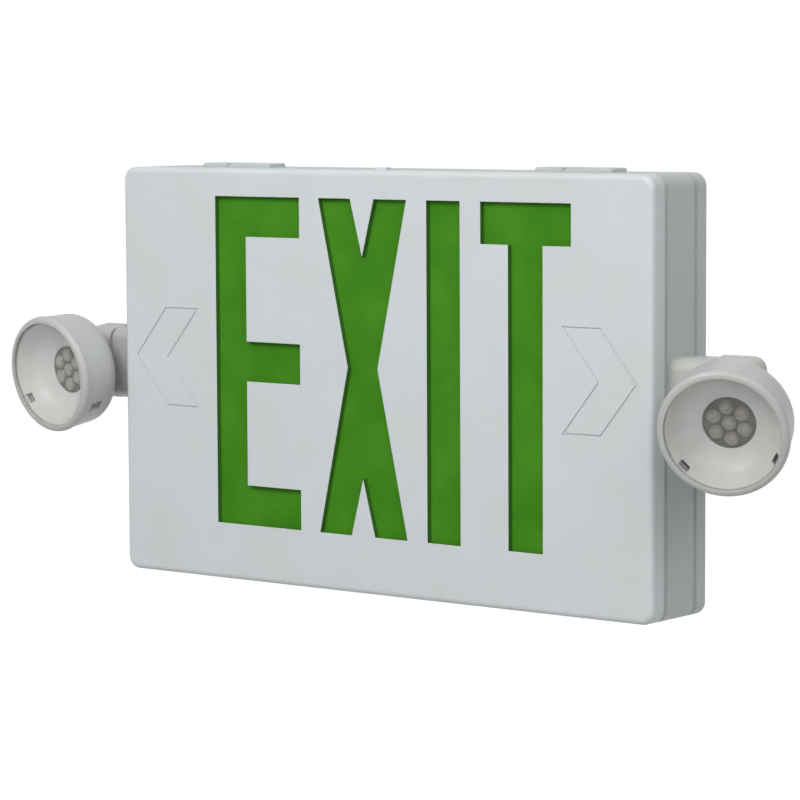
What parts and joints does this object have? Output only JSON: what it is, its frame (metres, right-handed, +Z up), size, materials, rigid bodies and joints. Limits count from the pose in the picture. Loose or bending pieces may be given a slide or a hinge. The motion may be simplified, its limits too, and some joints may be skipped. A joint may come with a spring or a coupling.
{
  "type": "emergency exit light",
  "caption": "White wall-mounted emergency exit light with a green stencilled legend, scored direction arrows and two aimable round lamp heads.",
  "frame": {"origin": "centre of the cable entry in the back plate's rear face, where that face meets the wall", "axes": "+Z up, +Y into the wall along the cable entry, +X to the right of a viewer who reads the sign"},
  "size_m": [0.4341, 0.0675, 0.1935],
  "materials": {
    "face_white": "semi-gloss moulded",
    "frame_white": "semi-gloss moulded",
    "lamp_white": "semi-gloss moulded",
    "legend_green": "translucent matte",
    "diffuser_white": "matte",
    "tray_white": "gloss",
    "bowl_white": "semi-gloss",
    "clear_lens": "clear polished",
    "emitter_dark": "matte",
    "emitter_dome": "clear cast over phosphor",
    "board_white": "solder mask",
    "board_green": "solder mask",
    "heat_sink_metal": "machined",
    "screw_steel": "zinc plated",
    "core_steel": "ferrite",
    "coil_tape": "polyester tape",
    "dark_part": "matte",
    "terminal_green": "matte",
    "connector_white": "matte",
    "battery_wrap": "shrink wrap",
    "strap_steel": "spring steel",
    "button_grey": "matte",
    "indicator_green": "translucent",
    "lead_red": "pvc",
    "lead_black": "pvc"
  },
  "bodies": {
    "housing": {"face_cover": "face_white", "housing_frame": "frame_white", "back_plate": "frame_white", "left_bracket": "lamp_white", "right_bracket": "lamp_white", "legend_panel": "legend_green", "diffuser_sheet": "diffuser_white", "reflector_tray": "tray_white", "sign_diodes": "emitter_dome", "strip_board_top": "board_white", "strip_board_bottom": "board_white", "circuit_board": "board_green", "plate_screws": "screw_steel", "board_screws": "screw_steel", "left_bracket_screws": "screw_steel", "right_bracket_screws": "screw_steel", "transformer_core": "core_steel", "transformer_coil": "coil_tape", "capacitors": "dark_part", "transfer_relay": "dark_part", "test_switch": "dark_part", "terminal_block": "terminal_green", "lead_connectors": "connector_white", "battery_pack": "battery_wrap", "battery_strap": "strap_steel", "charge_indicator": "indicator_green", "battery_lead": "lead_red", "left_lamp_lead": "lead_black", "right_lamp_lead": "lead_black"},
    "button": {"test_button": "button_grey", "switch_plunger": "button_grey"},
    "left_trunnion": {"left_knuckle": "lamp_white", "left_retaining_ring": "screw_steel", "left_pivot_pin": "screw_steel"},
    "left_head": {"left_head_shell": "lamp_white", "left_head_arm": "lamp_white", "left_heat_sink": "heat_sink_metal", "left_lamp_board": "board_white", "left_emitter_holder": "emitter_dark", "left_emitter_domes": "emitter_dome", "left_reflector": "bowl_white", "left_lamp_lens": "clear_lens", "left_bezel": "lamp_white"},
    "right_trunnion": {"right_knuckle": "lamp_white", "right_retaining_ring": "screw_steel", "right_pivot_pin": "screw_steel"},
    "right_head": {"right_head_shell": "lamp_white", "right_head_arm": "lamp_white", "right_heat_sink": "heat_sink_metal", "right_lamp_board": "board_white", "right_emitter_holder": "emitter_dark", "right_emitter_domes": "emitter_dome", "right_reflector": "bowl_white", "right_lamp_lens": "clear_lens", "right_bezel": "lamp_white"}
  },
  "joints": [
    {"name": "button_press", "type": "slide", "parent": "housing", "child": "button", "axis": [0, 0, 1], "range_m": [0, 0.0015], "stiffness_N_per_m": 300, "springref_m": -0.002},
    {"name": "left_tilt", "type": "hinge", "parent": "housing", "child": "left_trunnion", "pos_m": [-0.1812, -0.02, 0.0012], "axis": [1, 0, 0], "range_deg": [-22, 23]},
    {"name": "left_pan", "type": "hinge", "parent": "left_trunnion", "child": "left_head", "pos_m": [-0.1812, -0.02, 0.0012], "axis": [0, 0.1219, -0.9925], "range_deg": [-7, 43]},
    {"name": "right_tilt", "type": "hinge", "parent": "housing", "child": "right_trunnion", "pos_m": [0.1812, -0.02, 0.0012], "axis": [1, 0, 0], "range_deg": [-33, 12]},
    {"name": "right_pan", "type": "hinge", "parent": "right_trunnion", "child": "right_head", "pos_m": [0.1812, -0.02, 0.0012], "axis": [0, -0.309, 0.9511], "range_deg": [-20, 30]}
  ]
}
